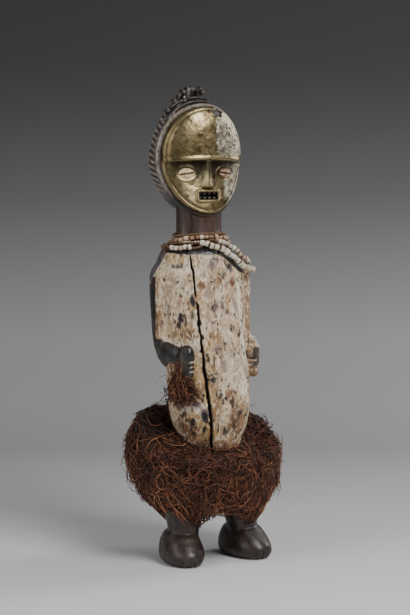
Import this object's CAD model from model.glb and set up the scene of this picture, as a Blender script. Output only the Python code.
"""Looks of the ancestor figure: weathered carved wood, sheet brass, cowries, beads and raffia."""

import math

import bpy
import numpy as np
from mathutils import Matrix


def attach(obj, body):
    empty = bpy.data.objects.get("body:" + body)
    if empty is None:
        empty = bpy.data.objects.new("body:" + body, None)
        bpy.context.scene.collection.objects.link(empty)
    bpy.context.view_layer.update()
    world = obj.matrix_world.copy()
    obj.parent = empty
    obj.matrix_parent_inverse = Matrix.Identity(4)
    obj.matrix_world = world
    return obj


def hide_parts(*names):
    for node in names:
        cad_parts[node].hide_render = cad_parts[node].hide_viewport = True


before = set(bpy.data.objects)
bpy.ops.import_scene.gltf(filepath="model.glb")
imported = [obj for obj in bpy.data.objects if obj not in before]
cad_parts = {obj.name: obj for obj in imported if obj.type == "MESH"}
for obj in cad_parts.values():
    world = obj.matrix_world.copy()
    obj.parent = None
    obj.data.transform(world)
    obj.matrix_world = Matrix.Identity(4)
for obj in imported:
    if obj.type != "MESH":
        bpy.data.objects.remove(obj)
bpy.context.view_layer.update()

import openvdb
from mathutils import Vector

MM = 0.001
RIGHT = -1
LEFT = 1

# Photograph and camera
VIEW_AZIMUTH = math.radians(-28)
VIEW_DISTANCE = 2.4
VIEW_HEIGHT = 0.560
VIEW_TARGET_HEIGHT = 0.342
VIEW_TARGET_SHIFT = 0.0069
SENSOR = 36.0
FOCAL_LENGTH = 102.6

# Whole figure, in millimetres, with places given as side offset, distance in front of the
# neck's axis and height
NECK_Y = 10
FAR = 12.0
FIGURE_CELL = 1.55
FIGURE_ADAPTIVITY = 0.012

# Torso and neck
TORSO_LOW = 143
BELLY_Z = 215
BELLY_RADIUS = 56
BELLY_FORWARD = 27
BELLY_TIP_FORWARD = 42
TORSO_STATIONS = [
    (BELLY_Z, BELLY_FORWARD, BELLY_RADIUS, BELLY_RADIUS),
    (260, 22, 57, 56),
    (300, 15, 60, 55),
    (340, 9, 64, 53),
    (384, 2, 66, 50),
    (400, 1, 63, 49),
    (412, 0, 60, 47),
    (421, 0, 55, 43),
    (427, 0, 44, 38),
    (432, 0, 35, 31),
    (445, -3, 33, 25),
    (486, -3, 33, 24),
]
KAOLIN_TOP = ((-90, -60, -20, 5, 15, 25, 40, 60, 90), (420, 420, 419, 418, 411, 402, 394, 390, 389))
CRACK_STATIONS = [(150, -13, 2.6), (180, -21, 3.4), (230, -27, 3.2), (290, -30, 2.0), (345, -32, 1.5), (421, -34, 1.2)]
CRACK_DEPTH = 12
TORSO_MARKS = [
    # kind of mark, side offset, height, half width, half height
    ("shade", -37, 356, 2.8, 6.5),
    ("shade", -38.5, 338, 2.0, 6),
    ("shade", -51, 333, 2.2, 6),
    ("shade", -53, 324, 2.4, 4),
    ("shade", -29, 308, 2.2, 4),
    ("shade", 14, 378, 2.0, 2.4),
    ("shade", -20, 251, 3.4, 3.2),
    ("shade", -25, 257, 1.5, 1.5),
    ("shade", -21, 259, 1.5, 1.4),
    ("shade", -16, 259, 1.5, 1.3),
    ("shade", -26, 252, 1.4, 1.4),
    ("shade", -13, 229, 2.6, 1.8),
    ("shade", -4, 226, 2.2, 3),
    ("shade", -31, 202, 3.4, 6),
    ("shade", -42, 193, 2.2, 5),
    ("shade", -33, 231, 1.8, 2),
    ("shade", -30, 184, 1.5, 5),
    ("shade", -9, 211, 1.6, 4),
    ("shade", 10, 189, 1.3, 7),
    ("shade", 12, 287, 1.5, 4),
    ("purple", -9, 348, 4, 4.5),
    ("purple", 3, 352, 2, 11),
    ("purple", -8, 404, 4, 5),
    ("purple", 0, 411, 5, 2.5),
    ("purple", 22, 399, 3, 6),
    ("purple", -12, 291, 3, 6),
    ("purple", -31, 205, 5, 8),
    ("purple", -40, 219, 5, 4),
    ("stain", -25, 377, 5, 5),
    ("stain", 22, 381, 4.5, 5),
    ("stain", 3, 232, 6, 3.5),
    ("stain", -18, 266, 2, 4),
    ("pale", -44, 216, 12, 7),
    ("pale", 30, 236, 9, 12),
    ("pale", -46, 398, 9, 5),
    ("pale", 34, 350, 4, 45),
    ("pale", 34, 290, 5, 25),
    ("brown", -42, 311, 10, 7),
    ("brown", -47, 178, 12, 14),
    ("brown", 14, 190, 14, 22),
    ("brown", -25, 160, 30, 9),
    ("brown", 0, 382, 5, 9),
]
CRACK_BREAK = (354, 362)
NIPPLE_X = 22
NIPPLE_Z = 380

# Arms
UPPER_ARM_STATIONS = [
    (262, 51, 10, 4, 6),
    (268, 53, 9, 9, 12),
    (280, 55.5, 6, 12, 16),
    (305, 58, 1, 12.5, 19),
    (340, 59.5, -2, 12, 19),
    (384, 59.5, -4, 12.5, 20),
    (397, 57, -4, 11, 18),
    (409, 53, -3, 7, 13),
]
FOREARM_STATIONS = {
    RIGHT: [(0, 57, 288, 9, 15), (16, 57.5, 287, 11, 16), (34, 55, 284, 10.5, 14), (52, 50, 280, 9, 12)],
    LEFT: [(0, 61.5, 290, 9, 16), (16, 62.5, 290, 11, 17), (34, 60.5, 288, 11, 17), (52, 54, 281, 9, 13)],
}
LEFT_ARM_OUT = 4.5
HAND_X, HAND_FORWARD, HAND_Z = 51, 58, 274
HAND_HALF_WIDE, HAND_HALF_THICK, HAND_HALF_HIGH = 10.5, 8, 24
HAND_TURN = math.radians(47)
FINGER_PITCH = 6.5

# Legs and feet
LEG_STATIONS = [
    (24, 46.5, 37, 21, 23),
    (44, 45.5, 37, 21, 22),
    (56, 44.5, 37, 23.5, 24.5),
    (72, 44, 38, 27.5, 28.5),
    (100, 41, 36, 29, 30),
    (135, 35, 30, 27, 28),
    (170, 24, 26, 20, 26),
]
FOOT_X, FOOT_FORWARD = 49.3, 39
FOOT_SPLAY = math.radians(9)
FOOT_STATIONS = [
    (0, 0, 22, 40),
    (4, 0, 26, 44),
    (10, 0, 28.3, 46.3),
    (18, 1, 28.3, 45),
    (26, 3, 27, 40.5),
    (34, 5, 24.5, 34),
    (40, 6, 21, 28),
    (45, 6, 15, 19),
]
TOE_PITCH = 8

# Head and face
FACE_LOW = 472
FACE_HEIGHT = 144
FACE_WIDTH = 120
HEAD_Z = FACE_LOW + FACE_HEIGHT / 2
BROW_Z = HEAD_Z
NOSE_Z = FACE_LOW + FACE_HEIGHT / 4
EYE_Z = (BROW_Z + NOSE_Z) / 2
EYE_X = FACE_WIDTH / 4
MOUTH_Z = FACE_LOW + FACE_HEIGHT / 6
MOUTH_HALF_WIDE = FACE_WIDTH / 8
MOUTH_HALF_HIGH = 5.5
MOUTH_DEEP = 8
RIM_TOP_FORWARD = 12
RIM_CHIN_FORWARD = 24
FOREHEAD_DEPTH = 30
CHEEK_DEPTH = 18
NOSE_ROOT_HALF = 4.5
NOSE_FOOT_HALF = FACE_WIDTH / 12
NOSE_RISE = 12
PLATE_LOSS_X, PLATE_LOSS_Z = 15, 607
PLATE_LOSS_HALF_WIDE, PLATE_LOSS_HALF_HIGH = 9, 6.5
WOOD_UNDER_PLATE = 2.2
TEETH = 4
CRANIUM = {"back": 26, "z": 545, "half_wide": 60.5, "half_high": 71, "half_deep": 34}

# Coiffure
TRESS_RADIUS = 63.5
CREST_RISE = 42.5
CREST_SHARPNESS = 2.7
TRESS_MIDDLE = -26.5
TRESS_HALF_THICK = 10.5
CREST_HALF_THICK = 8
CREST_INNER_RADIUS = 46
TRESS_END_ANGLE = -30
NOTCH_PITCH = 8.4
NOTCH_DEPTH = 2.6
NOTCH_SLANT = 0.42
CREST_HOLES = (54, 66, 78)
CREST_HOLE_RADIUS = 4.4
CREST_HOLE_INSET = 8
ARCH_END = 9

# Neck strings, as angles round the neck from the front towards the figure's left, with the distance
# down the shoulders and the lift off the wood at each. Beads run between the given angles.
STRINGS = {
    "neck_cord": {
        "run": [(-180, 3, 0), (-90, 5, 0), (0, 2, 0), (90, 3, 0)],
        "thread": 2.0,
        "beads": [],
    },
    "bead_strand_rose": {
        "run": [(-180, 12, 0), (-120, 19, 0), (-90, 20, 0.5), (-70, 14, 1.5), (-55, 10, 1.5), (-30, 8.5, 1), (0, 8.5, 1),
                (30, 9.5, 1), (60, 11, 0.5), (90, 13, 0)],
        "thread": 1.3,
        "beads": [(-96, 250, (5.5, 8.5), 3.5)],
    },
    "bead_strand_small": {
        "run": [(-180, 20, 0), (-120, 27, 0), (-90, 25, 0), (-60, 21.5, 1), (-40, 20, 1), (-28, 19, 1), (0, 17.5, 0), (60, 20, 0),
                (90, 22, 0)],
        "thread": 1.0,
        "beads": [(-58, -26, (2.8, 3.8), 2.5), (60, 170, (2.6, 3.8), 2.1)],
    },
    "bead_strand_white": {
        "run": [(-180, 27, 0), (-120, 28, 0), (-90, 25, 0), (-50, 22, 0), (-24, 22.5, 1.2), (-14, 24, 1.2), (0, 29, 1), (9, 31.5, 1),
                (18, 38, 0.6), (28, 45.5, 0.4), (37, 53, 0.3), (45, 57, 0), (60, 61, 0), (90, 62, 0), (120, 57, 0), (150, 42, 0)],
        "thread": 1.2,
        "beads": [(-25, 13, (6.0, 7.6), 4.3), (13, 150, (4.2, 5.6), 4.0)],
    },
    "bead_strand_low": {
        "run": [(-180, 33, 0), (-120, 30, 0), (-90, 28, 0), (-70, 30, 0.3), (-41, 29, 0.3), (-28, 28.5, 0), (-20, 25, 0), (-10, 17, 1),
                (0, 14.5, 3), (7, 18.5, 3), (17, 21, 1.5), (27, 24.5, 0.8), (31, 30, 0.5), (36, 37, 0.5), (43, 43, 0.4), (62, 46, 0),
                (75, 51.5, 0), (90, 52.5, 0), (120, 47, 0), (150, 46, 0)],
        "thread": 1.4,
        "beads": [(-72, -36, (4.2, 6.4), 3.5), (4, 140, (4.4, 6.6), 3.5)],
    },
}
NECK_STRING_TOP = 446
STRING_CLEARANCE = 0.9
ARM_TOP = 412
ARM_FULL = 392
ARM_PROUD = 5.5

# Raffia
SKIRT_STATIONS = [
    (40, 26, 50, 40),
    (62, 24, 72, 56),
    (80, 21, 86, 66),
    (110, 14, 101, 80),
    (140, 10, 106, 86),
    (165, 10, 104, 85),
    (188, 10, 92, 76),
    (203, 10, 76, 64),
]
SKIRT_TOP = ((0, 20, 40, 60, 85, 120), (199, 178, 163, 154, 143, 138))
SKIRT_LEFT_DROP = 12
SKIRT_LOW = (88, 28)
WRIST_RAFFIA = {"x": -54, "forward": 60, "z": 243}


# Numbers

def mix(a, b, t):
    return a + (b - a) * t


def smooth(value, low, high):
    t = np.clip((value - low) / (high - low), 0, 1)
    return t * t * (3 - 2 * t)


def between(stations, place):
    """The values at places between stations, on smooth curves through all of them."""
    rows = np.array(stations, float)
    marks = rows[:, 0]
    last = len(rows) - 1
    slopes = np.gradient(rows[:, 1:], axis=0)
    reach = np.gradient(marks)
    slopes = slopes / reach[:, None]
    s = np.clip(place, marks[0], marks[-1])
    i = np.clip(np.searchsorted(marks, s, side="right") - 1, 0, last - 1)
    span = marks[i + 1] - marks[i]
    t = (s - marks[i]) / span
    values = []
    for j in range(rows.shape[1] - 1):
        a, b = rows[i, j + 1], rows[i + 1, j + 1]
        leave, arrive = slopes[i, j] * span, slopes[i + 1, j] * span
        rise = b - a
        values.append(a + leave * t + (3 * rise - 2 * leave - arrive) * t**2 + (leave + arrive - 2 * rise) * t**3)
    return values


LATTICE = 32


def noise(x, y, z, cell, seed):
    """Smooth noise from -1 to 1 with features about one cell wide."""
    lattice = np.random.default_rng(seed).uniform(-1, 1, (LATTICE,) * 3).astype(np.float32)
    low, part = [], []
    for value in (x, y, z):
        scaled = np.asarray(value, np.float32) / cell
        floor = np.floor(scaled)
        low.append(floor.astype(np.int64) % LATTICE)
        f = scaled - floor
        part.append(f * f * (3 - 2 * f))
    total = 0
    for corner in range(8):
        bits = [(corner >> k) & 1 for k in range(3)]
        index = tuple((low[k] + bits[k]) % LATTICE for k in range(3))
        weight = 1
        for k in range(3):
            weight = weight * (part[k] if bits[k] else 1 - part[k])
        total = total + lattice[index] * weight
    return total


# Forms of the carving, as functions that are negative inside

def torso_form(x, d, z):
    forward, half_wide, half_deep = between(TORSO_STATIONS, z)
    half_wide = half_wide * (1 - 0.08 * smooth(x, 10, 45) * smooth(z, 285, 305) * smooth(-z, -412, -398))
    down = np.clip((BELLY_Z - z) / (BELLY_Z - TORSO_LOW), 0, None)
    forward = np.where(z < BELLY_Z, mix(BELLY_FORWARD, BELLY_TIP_FORWARD, np.minimum(down, 1.2) ** 4), forward)
    q = (x / half_wide) ** 2 + ((d - forward) / half_deep) ** 2 + down**2
    return (np.sqrt(q) - 1) * 50


def torso_front(x, z):
    forward, half_wide, half_deep = between(TORSO_STATIONS, z)
    down = np.clip((BELLY_Z - z) / (BELLY_Z - TORSO_LOW), 0, 1)
    forward = np.where(z < BELLY_Z, mix(BELLY_FORWARD, BELLY_TIP_FORWARD, down**4), forward)
    radius_share = np.sqrt(1 - down**2)
    inside = np.clip(radius_share**2 - (x / half_wide) ** 2, 0, None)
    return forward + half_deep * np.sqrt(inside)


def upper_arm_form(side):
    def form(x, d, z):
        px, forward, half_wide, half_deep = between(UPPER_ARM_STATIONS, z)
        px = px + (LEFT_ARM_OUT if side == LEFT else 0)
        over = np.maximum(np.maximum(UPPER_ARM_STATIONS[0][0] - z, z - UPPER_ARM_STATIONS[-1][0]), 0) / 5
        q = ((side * x - px) / half_wide) ** 2 + ((d - forward) / half_deep) ** 2 + over**2
        return (np.sqrt(q) - 1) * 12
    return form


def forearm_form(side):
    def form(x, d, z):
        px, pz, half_wide, half_high = between(FOREARM_STATIONS[side], d)
        over = np.maximum(np.maximum(-d, d - FOREARM_STATIONS[side][-1][0]), 0) / 6
        q = ((side * x - px) / half_wide) ** 2 + ((z - pz) / half_high) ** 2 + over**2
        return (np.sqrt(q) - 1) * 11
    return form


def hand_axes(side, x, d):
    """Offsets along the belly, towards its middle, and out from it."""
    across = side * x - HAND_X
    ahead = d - HAND_FORWARD
    along = -across * math.cos(HAND_TURN) + ahead * math.sin(HAND_TURN)
    out = across * math.sin(HAND_TURN) + ahead * math.cos(HAND_TURN)
    return along, out


def hand_form(side):
    def form(x, d, z):
        along, out = hand_axes(side, x, d)
        up = z - HAND_Z
        q = np.abs(along / HAND_HALF_WIDE) ** 2.8 + np.abs(out / HAND_HALF_THICK) ** 2.8
        q = q + np.abs(up / HAND_HALF_HIGH) ** 3.4
        f = (q ** (1 / 2.8) - 1) * 9
        tips = smooth(along, -2, 6)
        for k in (-1, 0, 1):
            groove = (up + FINGER_PITCH / 2 - k * FINGER_PITCH + 0.12 * along) / 1.25
            f = f + 2.6 * tips * np.exp(-groove**2)
        thumb = np.exp(-(((up - 16 + 0.5 * along) / 3.2) ** 2)) * smooth(along, -9, -2) * smooth(-along, -9, -5)
        return f - 1.6 * thumb * smooth(out, 0, 5)
    return form


def leg_form(side):
    def form(x, d, z):
        px, forward, half_wide, half_deep = between(LEG_STATIONS, z)
        over = np.maximum(np.maximum(LEG_STATIONS[0][0] - z, z - LEG_STATIONS[-1][0]), 0) / 14
        q = ((side * x - px) / half_wide) ** 2 + ((d - forward) / half_deep) ** 2 + over**2
        return (np.sqrt(q) - 1) * 25
    return form


def foot_axes(side, x, d):
    across = side * x - FOOT_X
    ahead = d - FOOT_FORWARD
    u = across * math.cos(FOOT_SPLAY) - ahead * math.sin(FOOT_SPLAY)
    v = across * math.sin(FOOT_SPLAY) + ahead * math.cos(FOOT_SPLAY)
    return u, v


def foot_form(side):
    def form(x, d, z):
        u, v = foot_axes(side, x, d)
        back, half_wide, half_long = between(FOOT_STATIONS, z)
        over = np.clip(z - FOOT_STATIONS[-1][0], 0, None) / 5
        q = np.abs(u / half_wide) ** 2.15 + np.abs((v + back) / half_long) ** 2.15
        q = (q + over**2.15) ** (1 / 2.15)
        f = (q - 1) * 28
        toes = smooth(v, 34, 40) * smooth(-z, -15, -9)
        for k in (-1.5, -0.5, 0.5, 1.5):
            f = f + 2.2 * toes * np.exp(-(((u - k * TOE_PITCH) / 0.9) ** 2))
        return np.maximum(f, -z)
    return form


def face_half(z):
    up = (2 * (z - HEAD_Z)) / FACE_HEIGHT
    return (FACE_WIDTH / 2) * np.sqrt(np.clip(1 - up**2, 0, None)) * (1 + 0.06 * up)


def rim_forward(z):
    up = (2 * (z - HEAD_Z)) / FACE_HEIGHT
    return np.where(up > 0, RIM_TOP_FORWARD, RIM_CHIN_FORWARD) * up**2


def face_edge(x, z):
    """About how far a point lies outside the face's outline."""
    up = (2 * (z - HEAD_Z)) / FACE_HEIGHT
    distance = np.hypot(x, z - HEAD_Z) + 1e-6
    lean = 1 + 0.06 * np.clip((z - HEAD_Z) / distance, -1, 1)
    q = np.hypot(x / (FACE_WIDTH / 2 * lean), up)
    return (q - 1) * distance / np.maximum(q, 1e-6)


def nose_rise(x, z):
    down = (BROW_Z - z) / (BROW_Z - NOSE_Z)
    half = mix(NOSE_ROOT_HALF, NOSE_FOOT_HALF, np.clip(down, 0, 1))
    foot = smooth(z, NOSE_Z - 1.2, NOSE_Z + 0.6)
    wedge = np.clip(1 - np.sqrt((x / half) ** 2 + 0.012), 0, 1) ** 0.85
    return np.where(down > 0, NOSE_RISE * wedge * foot, 0)


def mouth_edge(x, z):
    """How far a point lies outside the mouth's opening, with rounded corners."""
    a = np.abs(x) - (MOUTH_HALF_WIDE - 2)
    b = np.abs(z - MOUTH_Z) - (MOUTH_HALF_HIGH - 2)
    return np.hypot(np.clip(a, 0, None), np.clip(b, 0, None)) + np.minimum(np.maximum(a, b), 0) - 2


def face_depth(x, z):
    half = np.maximum(face_half(z), 1e-6)
    up = (2 * (z - HEAD_Z)) / FACE_HEIGHT
    across = np.clip(np.abs(x) / half, 0, 1)
    dome = np.sqrt(np.clip((1 - up**2) * (1 - across**2), 0, None))
    brow = BROW_Z - 4 * across**2
    depth = dome * mix(CHEEK_DEPTH, FOREHEAD_DEPTH, smooth(z, brow - 1.6, brow + 1.6))
    moulding = np.exp(-(((z - brow - 3.2) / 2.0) ** 2)) * (1 - across**6)
    lips = 2.4 * np.exp(-(((mouth_edge(x, z) - 1.6) / 1.5) ** 2))
    eye = np.hypot((np.abs(x) - EYE_X) / 14, (z - EYE_Z) / 9.5)
    socket = 0.9 * np.exp(-(((eye - 1) / 0.14) ** 2))
    return rim_forward(z) + depth + 1.3 * moulding + np.maximum(nose_rise(x, z), lips + socket)


def face_form(x, d, z):
    surface = d - face_depth(x, z) + WOOD_UNDER_PLATE
    back = -(d + CRANIUM["back"])
    return np.maximum(np.maximum(surface * 0.6, face_edge(x, z) + 0.6), back)


def cranium_form(x, d, z):
    c = CRANIUM
    q = (x / c["half_wide"]) ** 2 + ((d + c["back"]) / c["half_deep"]) ** 2 + ((z - c["z"]) / c["half_high"]) ** 2
    row = np.cos(2 * np.pi * np.arctan2(x, -(d + 10)) * 6.5)
    behind = smooth(-d, 40, 48) * smooth(z, 488, 500)
    return (np.sqrt(q) - 1) * 50 - 0.8 * row * behind


def hairline_form(x, d, z):
    return np.hypot(face_edge(x, z) - 0.8, (d - rim_forward(z) + 6.5) / 1.15) - 4.2


def groove_form(x, d, z):
    front = d - rim_forward(z) + 8
    return np.maximum(np.maximum(face_edge(x, z) - 1.2, front), -(d + 30))


def crest_polar(x, z):
    angle = np.degrees(np.arctan2(z - HEAD_Z, np.abs(x) + 1e-6))
    radius = np.hypot(x, z - HEAD_Z)
    outer = TRESS_RADIUS + CREST_RISE * np.clip(angle / 90, 0, 1) ** CREST_SHARPNESS
    return angle, radius, outer


def notch_phase(x, d, z):
    angle, radius, outer = crest_polar(x, z)
    run = np.radians(angle) * (TRESS_RADIUS + 0.35 * (outer - TRESS_RADIUS))
    return (run + NOTCH_SLANT * (d - TRESS_MIDDLE)) / NOTCH_PITCH


def crest_form(x, d, z):
    angle, radius, outer = crest_polar(x, z)
    knobs = smooth(angle, 42, 52)
    rope = 0.5 + 0.5 * np.cos(2 * np.pi * notch_phase(x, d, z))
    studs = 0.5 + 0.5 * np.cos(2 * np.pi * np.radians(angle) * 92 / 12.5)
    ridge = mix(rope, studs**1.6, knobs)
    worn = 9 * np.where(x > 0, 1, 0) * smooth(angle, 50, 60) * smooth(-angle, -88, -78)
    notched = outer - mix(NOTCH_DEPTH, 4.0, knobs) * (1 - ridge**0.8) - worn
    notched = notched - 16 * smooth(-angle, -TRESS_END_ANGLE - 2, -TRESS_END_ANGLE + 14)
    inner = CREST_INNER_RADIUS
    half_thick = mix(TRESS_HALF_THICK, CREST_HALF_THICK, knobs) - 1.1 * (1 - ridge)
    middle = (notched + inner) / 2
    half = np.maximum((notched - inner) / 2, 1)
    power = 3.0
    q = np.abs((radius - middle) / half) ** power + np.abs((d - TRESS_MIDDLE) / half_thick) ** power
    f = (q ** (1 / power) - 1) * 9
    run = np.radians(angle) * 85
    lattice = np.cos(2 * np.pi * (run + radius) / 6.4) * np.cos(2 * np.pi * (run - radius) / 6.4)
    front = smooth(angle, 40, 48) * smooth(d, TRESS_MIDDLE + 3, TRESS_MIDDLE + 6)
    return f - 1.1 * lattice * front


def crest_hole_form(side, angle):
    middle = TRESS_RADIUS + CREST_RISE * (angle / 90) ** CREST_SHARPNESS - CREST_HOLE_INSET
    cx = side * middle * math.cos(math.radians(angle))
    cz = HEAD_Z + middle * math.sin(math.radians(angle))

    def form(x, d, z):
        sides = []
        for turn in (30, 150, 270):
            a = math.radians(turn)
            sides.append((x - cx) * math.cos(a) + (z - cz) * math.sin(a) - CREST_HOLE_RADIUS / 2)
        return np.maximum(np.maximum(sides[0], sides[1]), sides[2]) + 0 * d
    return form, cx, cz


def stud_form(side, angle):
    radius = TRESS_RADIUS + CREST_RISE * (angle / 90) ** CREST_SHARPNESS - 2.2
    cx = side * radius * math.cos(math.radians(angle))
    cz = HEAD_Z + radius * math.sin(math.radians(angle))

    def form(x, d, z):
        return np.sqrt((x - cx) ** 2 + ((d - TRESS_MIDDLE - 2) / 1.7) ** 2 + (z - cz) ** 2) - 4.4
    return form, (cx - 9, -40, cz - 9), (cx + 9, -12, cz + 9)


def arch_form(outset, forward, half_angle):
    def form(x, d, z):
        top = np.degrees(np.arctan2(x, z - HEAD_Z))
        end = np.clip(-top - half_angle, 0, None) + np.clip(top - ARCH_END, 0, None)
        return np.sqrt((face_edge(x, z) - outset) ** 2 + (d - forward) ** 2 + (1.2 * end) ** 2) - 2.1
    return form


def knob_form(x, d, z):
    ball = np.sqrt(((x - 5) / 1.0) ** 2 + ((d + 12) / 1.5) ** 2 + (z - 640) ** 2) - 4.8
    pierced = np.sqrt((d + 9) ** 2 + (z - 641) ** 2) - 1.8
    return np.maximum(ball, -pierced)


def crack_form(x, d, z):
    cx, wide = between(CRACK_STATIONS, z)
    wander = 0.7 * noise(x * 0, d * 0, z, 14, 5) + 0.3 * noise(x * 0, d * 0, z, 5, 6)
    front = torso_front(cx, z)
    depth = (front - d) / CRACK_DEPTH
    half = wide / 2 * (1 - 0.5 * np.clip(depth, 0, 1)) + 0.15
    low, high = CRACK_STATIONS[0][0], CRACK_STATIONS[-1][0] + 12
    ends = np.maximum(np.maximum(low - z, z - high), -np.maximum(CRACK_BREAK[0] - z, z - CRACK_BREAK[1]))
    return np.maximum(np.abs(x - cx - wander) - half + 0.12 * np.clip(ends, -1, 12), front - CRACK_DEPTH - d)


def nipple_form(side, rise):
    forward = float(torso_front(NIPPLE_X, NIPPLE_Z))

    def form(x, d, z):
        q = ((side * x - NIPPLE_X) / 5.2) ** 2 + ((d - forward) / rise) ** 2 + ((z - NIPPLE_Z) / 4.6) ** 2
        return (np.sqrt(q) - 1) * 4.5
    return form


# The carving as a field of distances

class Field:
    """Distances to a surface, negative inside, on a grid of cells over a box."""

    def __init__(self, low, high, cell):
        self.cell = cell
        self.low = np.array(low, float)
        count = np.ceil((np.array(high) - self.low) / cell).astype(int) + 1
        self.values = np.full(count, FAR, np.float32)

    def window(self, low, high):
        first = np.clip(np.floor((np.array(low) - self.low) / self.cell).astype(int), 0, None)
        last = np.minimum(np.ceil((np.array(high) - self.low) / self.cell).astype(int) + 1, self.values.shape)
        axes = [self.low[k] + self.cell * np.arange(first[k], last[k]) for k in range(3)]
        return tuple(slice(a, b) for a, b in zip(first, last)), np.meshgrid(*axes, indexing="ij", sparse=True)

    def measured(self, form, low, high):
        where, (x, d, z) = self.window(low, high)
        raw = np.asarray(form(x, d, z), np.float32)
        raw = np.broadcast_to(raw, self.values[where].shape)
        steep = np.sqrt(sum(g * g for g in np.gradient(raw, self.cell)))
        return where, np.clip(raw / np.maximum(steep, 0.05), -FAR, FAR)

    def add(self, form, low, high, soft=1.0):
        where, other = self.measured(form, low, high)
        own = self.values[where]
        h = np.clip(0.5 + 0.5 * (own - other) / soft, 0, 1)
        self.values[where] = own + (other - own) * h - soft * h * (1 - h)

    def cut(self, form, low, high, soft=0.6):
        where, other = self.measured(form, low, high)
        own, other = self.values[where], -other
        h = np.clip(0.5 - 0.5 * (own - other) / soft, 0, 1)
        self.values[where] = own + (other - own) * h + soft * h * (1 - h)

    def roughen(self, amount, low, high):
        where, (x, d, z) = self.window(low, high)
        self.values[where] += amount(x, d, z)

    def surface(self, adaptivity):
        grid = openvdb.FloatGrid(FAR)
        grid.copyFromArray(self.values)
        points, triangles, quads = grid.convertToPolygons(isovalue=0.0, adaptivity=adaptivity)
        return self.low + points * self.cell, triangles, quads


def carve_figure():
    field = Field((-84, -66, -4), (84, 92, 656), FIGURE_CELL)
    field.add(torso_form, (-80, -66, 134), (80, 92, 484))
    for side in (RIGHT, LEFT):
        def span(x0, x1):
            return sorted((side * x0, side * x1))
        x0, x1 = span(30, 82)
        field.add(upper_arm_form(side), (x0, -34, 250), (x1, 34, 422), 3.0)
        field.add(forearm_form(side), (x0, -14, 262), (x1, 68, 312), 2.5)
        field.add(hand_form(side), (x0, 38, 242), (x1, 80, 306), 1.0)
        x0, x1 = span(-2, 84)
        field.add(leg_form(side), (x0, -8, 6), (x1, 76, 190), 5.0)
        field.add(foot_form(side), (x0, -16, -4), (x1, 92, 60), 1.5)
    for side in (RIGHT, LEFT):
        for angle in (51, 61, 71, 81):
            form, low, high = stud_form(side, angle)
            if side == RIGHT or angle > 75:
                field.add(form, low, high, 1.2)
    field.add(nipple_form(LEFT, 5.2), (12, 38, 366), (34, 62, 394), 2.0)
    field.add(nipple_form(RIGHT, 2.0), (-34, 38, 366), (-12, 62, 394), 2.0)
    field.add(cranium_form, (-72, -66, 464), (72, 30, 626), 2.0)
    field.add(groove_form, (-74, -36, 462), (74, 34, 626), 0.8)
    field.add(face_form, (-68, -34, 466), (68, 48, 622), 0.6)
    field.add(hairline_form, (-74, -20, 460), (74, 34, 628), 0.8)
    field.add(crest_form, (-76, -42, 490), (76, -10, 656), 0.8)
    for outset, forward, half_angle in ((7.5, 0, 42), (12.5, -7, 30)):
        field.add(arch_form(outset, forward, half_angle), (-60, -16, 584), (60, 12, 640), 0.8)
    field.add(knob_form, (-6, -24, 630), (16, 0, 652), 1.2)
    for side in (RIGHT, LEFT):
        for angle in CREST_HOLES:
            form, cx, cz = crest_hole_form(side, angle)
            field.cut(form, (cx - 9, -48, cz - 9), (cx + 9, -6, cz + 9), 0.4)
    field.cut(lambda x, d, z: np.maximum(mouth_edge(x, z), face_depth(x, z) - WOOD_UNDER_PLATE - MOUTH_DEEP - d),
              (-22, 6, 484), (22, 44, 508), 0.3)
    field.cut(crack_form, (-42, 10, 140), (-4, 92, 440), 0.3)
    field.roughen(torso_relief, (-80, -66, 134), (80, 92, 440))
    field.roughen(dark_relief, (-84, -66, -4), (84, 92, 134))
    return field


def torso_relief(x, d, z):
    """Adze marks, weathered grain and worm holes in the torso."""
    adze = 0.45 * noise(x, d, z * 0.5, 11, 1)
    grain = 0.22 * noise(x, d, z * 0.12, 2.6, 2)
    pits = 1.5 * smooth(noise(x, d, z * 0.45, 4.2, 3), 0.52, 0.72)
    return adze + grain + pits * smooth(434 - z, 0, 8)


def dark_relief(x, d, z):
    return 0.35 * noise(x, d, z, 9, 4)


# Meshes

def to_blender(points):
    """Metres in the frame's axes from side offset, forward distance and height."""
    points = np.asarray(points, float)
    return np.stack([points[..., 0], NECK_Y - points[..., 1], points[..., 2]], -1) * MM


def new_mesh(name, verts, faces, smooth_faces=True):
    """A mesh object from points in metres and arrays of faces, each with one number of corners."""
    mesh = bpy.data.meshes.new(name)
    verts = np.asarray(verts, np.float32).reshape(-1, 3)
    faces = [np.asarray(f, np.int32) for f in faces if len(f)]
    corners = np.concatenate([f.ravel() for f in faces])
    sizes = np.concatenate([np.full(len(f), f.shape[1], np.int32) for f in faces])
    starts = np.concatenate([[0], np.cumsum(sizes)[:-1]]).astype(np.int32)
    mesh.vertices.add(len(verts))
    mesh.vertices.foreach_set("co", verts.ravel())
    mesh.loops.add(len(corners))
    mesh.loops.foreach_set("vertex_index", corners)
    mesh.polygons.add(len(sizes))
    mesh.polygons.foreach_set("loop_start", starts)
    mesh.polygons.foreach_set("loop_total", sizes)
    mesh.update(calc_edges=True)
    mesh.validate()
    mesh.shade_smooth() if smooth_faces else mesh.shade_flat()
    obj = bpy.data.objects.new(name, mesh)
    bpy.context.scene.collection.objects.link(obj)
    return obj


def paint(obj, name, values):
    """A number at each vertex, for the material to read."""
    layer = obj.data.attributes.new(name, "FLOAT", "POINT")
    layer.data.foreach_set("value", np.asarray(values, np.float32))


def grid_faces(rows, columns, closed=False):
    """Quads over a grid of points, wrapping across the columns if closed."""
    i = np.arange(rows - 1)[:, None]
    j = np.arange(columns if closed else columns - 1)[None, :]
    a = i * columns + j
    b = i * columns + (j + 1) % columns
    return np.stack([a, b, b + columns, a + columns], -1).reshape(-1, 4)


# Materials

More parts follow.
